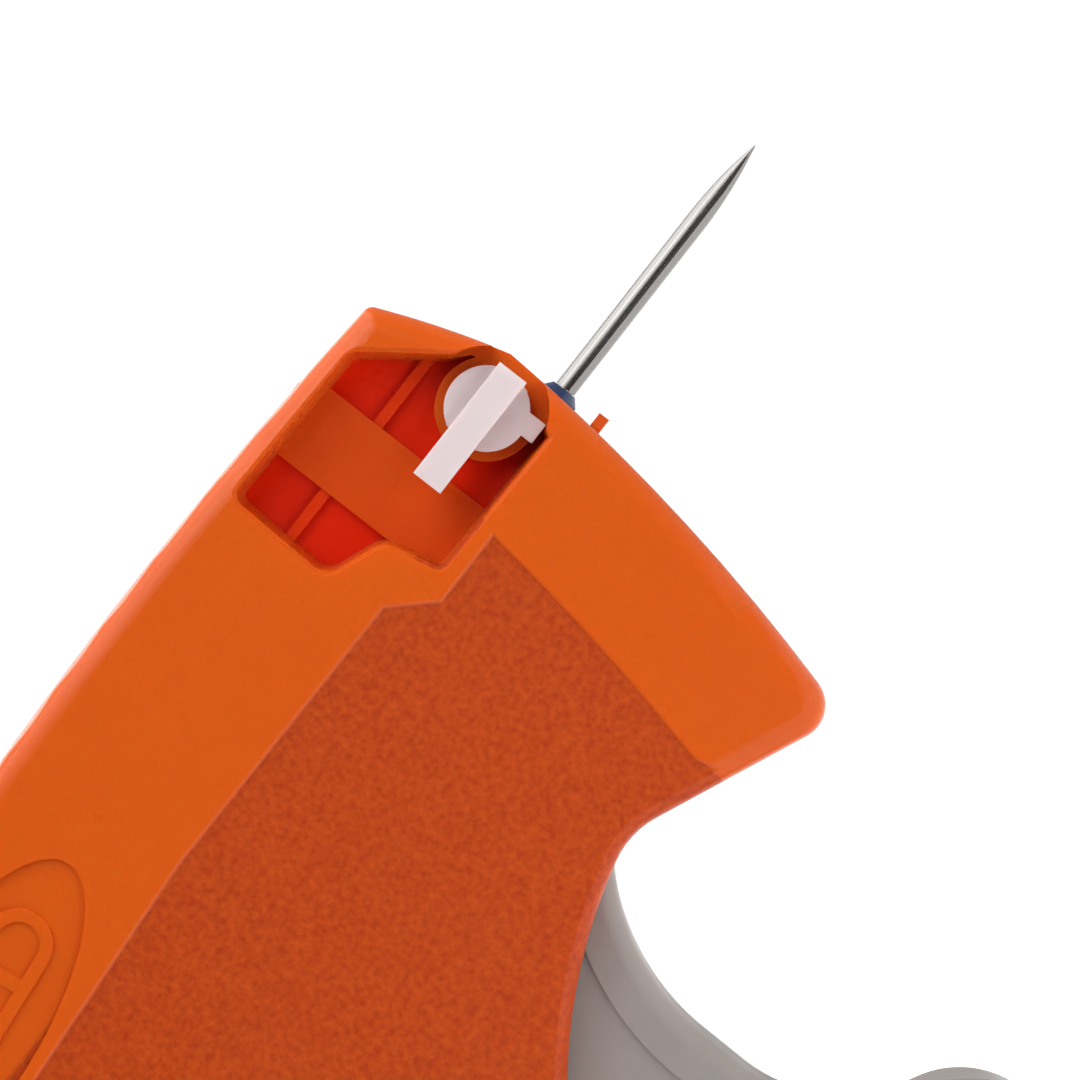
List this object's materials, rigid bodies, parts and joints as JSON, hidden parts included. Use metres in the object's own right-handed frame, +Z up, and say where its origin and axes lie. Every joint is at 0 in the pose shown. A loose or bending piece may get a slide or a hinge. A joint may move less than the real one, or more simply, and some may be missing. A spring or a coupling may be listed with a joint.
{
  "type": "tagging gun",
  "caption": "Hand-held price-tag attacher with a hollow needle, a needle lock in a side recess, a tag-pin feed channel and a long trigger.",
  "frame": {"origin": "on the needle's axis where the steel leaves its hub", "axes": "+X forward along the needle, +Z up from the handle, +Y to the tool's left, where the tag-pin clip feeds in"},
  "size_m": [0.1478, 0.024, 0.1247],
  "materials": {
    "orange_body": "semi-gloss moulded, textured grip field",
    "needle_steel": "drawn tube, ground point",
    "blue_hub": "moulded",
    "white_nylon": "moulded, slightly translucent",
    "black_nylon": "moulded",
    "spring_steel": "blued strip and wire",
    "pin_steel": "zinc plated",
    "grey_trigger": "satin moulded",
    "black_rubber": "matt"
  },
  "bodies": {
    "body": {"right_shell": "orange_body", "left_shell": "orange_body", "front_cover": "orange_body", "needle": "needle_steel", "needle_hub": "blue_hub", "needle_seat": "black_nylon", "cutter_blade": "spring_steel", "feed_guide": "black_nylon", "detent_spring": "spring_steel", "trigger_pin": "pin_steel", "lever_pin": "pin_steel", "slider_rails": "black_nylon", "return_spring": "spring_steel", "stop_bumper": "black_rubber", "shell_screws": "pin_steel"},
    "trigger": {"trigger": "grey_trigger"},
    "drive_lever": {"drive_lever": "black_nylon", "lever_roller": "white_nylon", "roller_pin": "pin_steel"},
    "slider": {"slider": "black_nylon", "slider_pin": "pin_steel", "push_rod": "needle_steel"},
    "lock_knob": {"lock_knob": "white_nylon", "knob_clip": "spring_steel"},
    "feed_wheel": {"feed_wheel": "white_nylon", "ratchet_wheel": "white_nylon", "feed_axle": "pin_steel"},
    "feed_bar": {"feed_bar": "black_nylon", "feed_pawl": "spring_steel"}
  },
  "joints": [
    {"name": "trigger_squeeze", "type": "hinge", "parent": "body", "child": "trigger", "pos_m": [-0.037, 0, -0.025], "axis": [0, 1, 0], "range_deg": [0, 24], "stiffness_Nm_per_rad": 0.9, "springref_deg": -14.32, "deforming": ["return_spring"]},
    {"name": "lever_swing", "type": "hinge", "parent": "body", "child": "drive_lever", "pos_m": [-0.082, 0, -0.042], "axis": [0, 1, 0], "range_deg": [0, 61.53]},
    {"name": "slider_stroke", "type": "slide", "parent": "body", "child": "slider", "axis": [1, 0, 0], "range_m": [0, 0.05]},
    {"name": "feed_bar_slide", "type": "slide", "parent": "body", "child": "feed_bar", "axis": [0, 0, -1], "range_m": [0, 0.0027]},
    {"name": "feed_wheel_turn", "type": "hinge", "parent": "body", "child": "feed_wheel", "pos_m": [-0.0185, -0.00545, -0.012], "axis": [1, 0, 0], "continuous": true},
    {"name": "needle_lock_turn", "type": "hinge", "parent": "body", "child": "lock_knob", "pos_m": [-0.00649, -0.008, 0.00472], "axis": [0, 1, 0], "range_deg": [0, 70]}
  ],
  "couplings": [
    {"joint": "lever_swing", "follows": "trigger_squeeze", "ratio": 2.5635},
    {"joint": "slider_stroke", "follows": "trigger_squeeze", "m_per_rad": 0.11936},
    {"joint": "feed_bar_slide", "follows": "trigger_squeeze", "m_per_rad": 0.006445}
  ]
}
